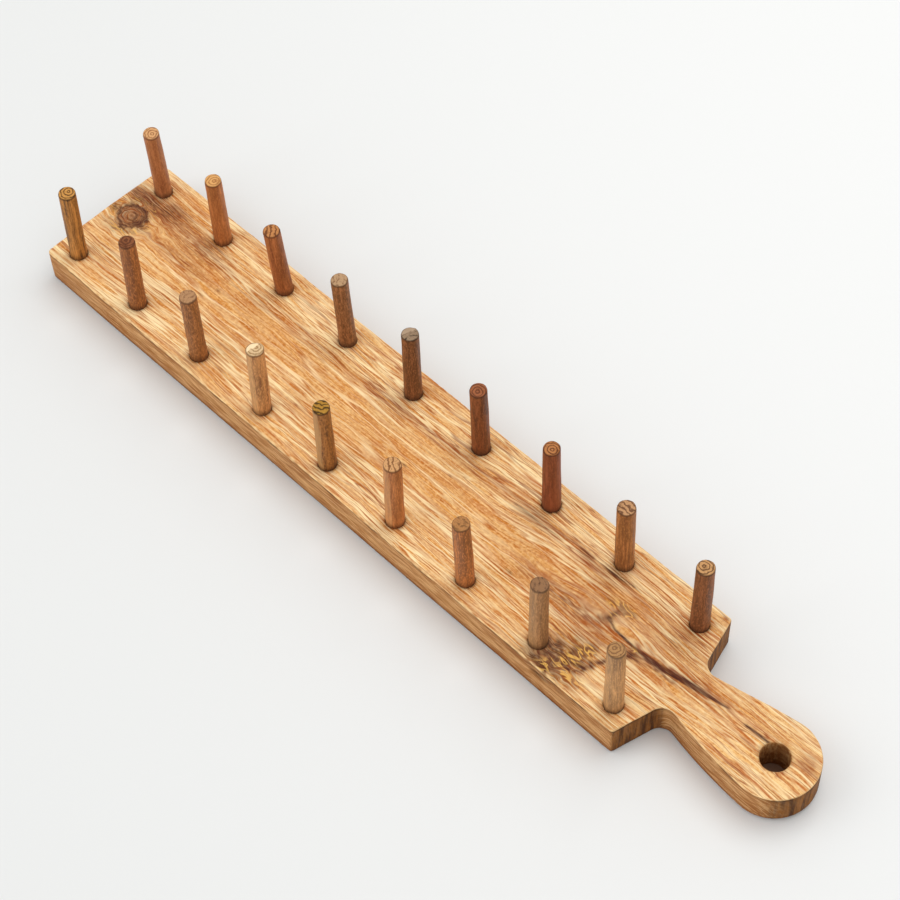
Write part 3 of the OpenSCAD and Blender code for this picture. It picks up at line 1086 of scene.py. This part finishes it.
def peg_side_material(name, look, number, sap_side):
    """Turned wood: fibres run along the peg."""
    s = Shader(name + "_side")
    shift = (number * 1.7, number * 0.9, number * 2.3)
    fibre = s.noise((430, 430, 30), 4, 0.62, 0.3, shift)
    thread = s.noise((1500, 1500, 110), 3, 0.6, 0.2, shift)
    cloud = s.noise((60, 60, 16), 2, 0.5, 0.5, shift)
    speck = s.noise((1300, 1300, 420), 2, 0.6, 0.0, shift)
    x, y, z = s.axes()
    side, streak = rgb(*look.side), rgb(*look.streak)
    bright = tuple(min(1.0, c * 1.5 + 0.012) for c in side[:3]) + (1.0,)
    dull = tuple(c * 0.66 for c in side[:3]) + (1.0,)
    colour = s.mix(s.spread(cloud, 0.34, 0.66), dull, side)
    for value, low, high, strength, tone in (
        (fibre, 0.50, 0.68, 0.75, bright),
        (fibre, 0.48, 0.36, 0.35 + 0.6 * look.streaks, streak),
        (thread, 0.52, 0.66, 0.40, bright),
        (thread, 0.48, 0.36, 0.35, streak),
        (speck, 0.54, 0.64, 0.15 + look.speckles, bright),
        (speck, 0.45, 0.35, 0.15 + look.speckles, streak),
    ):
        colour = s.mix(s.spread(value, low, high, 0.0, strength), colour, tone)
    if look.pale:
        # sapwood shows on one side only
        across = s.plus(s.times(s.along(x, y, sap_side), 180.0), s.minus(fibre, MIDDLE))
        grown = s.times(s.spread(across, 0.52, 0.76), s.spread(fibre, 0.3, 0.6, 0.65, 1.0))
        sap = (min(255, int(c * 0.45 + d * 0.55)) for c, d in zip(look.side, SAPWOOD))
        colour = s.tint(colour, sap, grown, look.pale)
    # painted shade where the peg meets the board, less inside the socket
    foot_shade = s.spread(z, 0.0, FOOT_SHADE_TOP, 0.62, 0.0)
    foot_shade = s.times(foot_shade, s.spread(z, *FOOT_SHADE_SOCKET, 0.25, 1.0))
    colour = s.tint(colour, (58, 34, 22), foot_shade)
    # painted shade: a dark band round the top edge of the side
    colour = s.tints(colour, (z, *TOP_EDGE_SHADE, 0.65, darker(look.streak, 0.75)))
    rough = s.spread(fibre, 0.3, 0.7, 0.44, 0.62)
    normal = s.bump(thread, 0.4, 0.00008, s.bump(fibre, 0.5, 0.00022))
    return s.finish(colour, rough, normal, 0.2)


def peg_cap_material(name, look, number, chip_side):
    """End grain of a peg: growth rings, stripes or pores."""
    s = Shader(name + "_cap")
    shift = (number * 2.1, number * 1.3, 0)
    warp = s.noise((220, 220, 60), 2, 0.5, 0.0, shift)
    pore = s.noise((1500, 1500, 300), 2, 0.6, 0.0, shift)
    patch = s.noise((260, 260, 100), 3, 0.6, 0.6, shift)
    x, y, _ = s.axes()
    if look.pattern == "rings":
        run = s.length(s.minus(x, 0.0012), s.plus(y, 0.0008))
        wave = s.plus(s.times(run, 3000.0), s.times(warp, 10.0))
    else:
        lean = 0.6 + number * 0.9
        run = s.along(x, y, (math.cos(lean), math.sin(lean)))
        wave = s.plus(s.times(run, 2100.0), s.times(warp, 13.0))
    lines = s.spread(s.math("SINE", wave), 0.0, 0.9)
    if look.pattern == "speckled":
        lines = s.times(lines, s.spread(patch, 0.42, 0.58, 0.15, 1.0))
    colour = s.tint(rgb(*look.cap), look.cap_line, lines, 0.85)
    colour = s.tints(
        colour,
        (patch, 0.52, 0.72, 0.55, look.cap_line),
        (pore, 0.40, 0.32, 0.7, darker(look.cap_line, 0.6)),
    )
    if look.chip:
        # the chip shows fresh, paler wood
        split = s.plus(s.along(x, y, chip_side), s.times(s.minus(warp, MIDDLE), 0.006))
        fresh = [min(255, c + look.chip * 34) for c in look.cap]
        colour = s.tints(colour, (split, 0.0013, 0.0019, 0.9, fresh))
    # painted shade: a darker ring round the edge of the cap
    edge = look.top_r * MM
    rim = (s.length(x, y), 0.84 * edge, 0.97 * edge, 0.65, darker(look.cap_line, 0.75))
    colour = s.tints(colour, rim)
    normal = s.bump(s.plus(s.times(lines, -0.6), pore), 0.6, 0.00018)
    return s.finish(colour, s.spread(patch, 0.3, 0.7, 0.55, 0.72), normal, 0.15)


def floor_material():
    """Studio paper, with painted light that makes it brighter to the right of the camera, and a
    painted brown shadow under the hanging hole.
    """
    s = Shader("floor_paper")
    x, y, _ = s.axes()
    # painted light: the paper gets brighter to the right of the camera
    across = s.spread(s.along(x, y, (0.68, 0.73)), -0.45, 0.45)
    colour = s.mix(across, (0.755, 0.765, 0.758, 1), (0.832, 0.840, 0.834, 1))
    # painted shadow, brown, on the paper under the hanging hole
    away = s.length(s.minus(x, TIP_X * MM), s.minus(y, TIP_Y * MM))
    colour = s.tint(colour, (150, 108, 76), s.spread(away, 0.011, 0.014, 0.9, 0.0))
    fine = s.noise((600, 600, 600), 2, 0.5)
    rough = s.spread(fine, 0.3, 0.7, 0.75, 0.85)
    return s.finish(colour, rough, s.bump(fine, 0.05, 0.0001), 0.2)


# ---- build it all

board = make_board()
board.data.materials.append(board_material())
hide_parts("board")
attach(board, "board")

for number, name in enumerate(PEG_NAMES):
    peg = make_peg(name, number)
    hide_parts(name)
    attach(peg, name)

# ---- floor, lights and camera

FLOOR_WIDTH = 24.0
# Just under the board, so that the two never share a plane
FLOOR_Z = -0.0003
bpy.ops.mesh.primitive_plane_add(size=FLOOR_WIDTH, location=(0, 0, FLOOR_Z))
floor = bpy.context.object
floor.name = "floor"
floor.data.materials.append(floor_material())

centre = (cad_low + cad_high) / 2


def area_light(name, place, size, power, tint=(1, 1, 1)):
    """A soft square lamp that faces the loom."""
    light = bpy.data.lights.new(name, "AREA")
    light.size = size
    light.energy = power
    light.color = tint
    lamp = bpy.data.objects.new(name, light)
    lamp.location = centre + Vector(place)
    lamp.rotation_euler = Vector(place).to_track_quat("Z", "Y").to_euler()
    bpy.context.scene.collection.objects.link(lamp)


area_light("key", (0.05, 0.85, 1.8), size=1.3, power=13.0, tint=(1.0, 0.985, 0.96))
area_light("fill", (-0.9, -1.2, 1.2), size=1.4, power=7.0)

SKY_STRENGTH = 0.79
world = bpy.data.worlds.new("studio")
world.use_nodes = True
sky = world.node_tree.nodes["Background"]
sky.inputs["Color"].default_value = (1, 1, 1, 1)
sky.inputs["Strength"].default_value = SKY_STRENGTH
bpy.context.scene.world = world
bpy.context.scene.view_settings.view_transform = "Standard"

AZIMUTH, ELEVATION, ROLL = 47.51, 55.55, -2.84
DISTANCE = 1.4165
LENS = 93.16
AIM = Vector((0.0073, 0.0131, 0.0))


def make_camera():
    """The photo's view: turned about the loom, tipped down, then rolled."""
    turn = Matrix.Identity(4)
    for angle, axis in zip((AZIMUTH, 90 - ELEVATION, ROLL), "ZXZ"):
        turn = turn @ Matrix.Rotation(math.radians(angle), 4, axis)
    data = bpy.data.cameras.new("camera")
    data.lens = LENS
    camera = bpy.data.objects.new("camera", data)
    place = centre + AIM + DISTANCE * turn.col[2].to_3d()
    camera.matrix_world = Matrix.Translation(place) @ turn
    bpy.context.scene.collection.objects.link(camera)
    bpy.context.scene.camera = camera


make_camera()
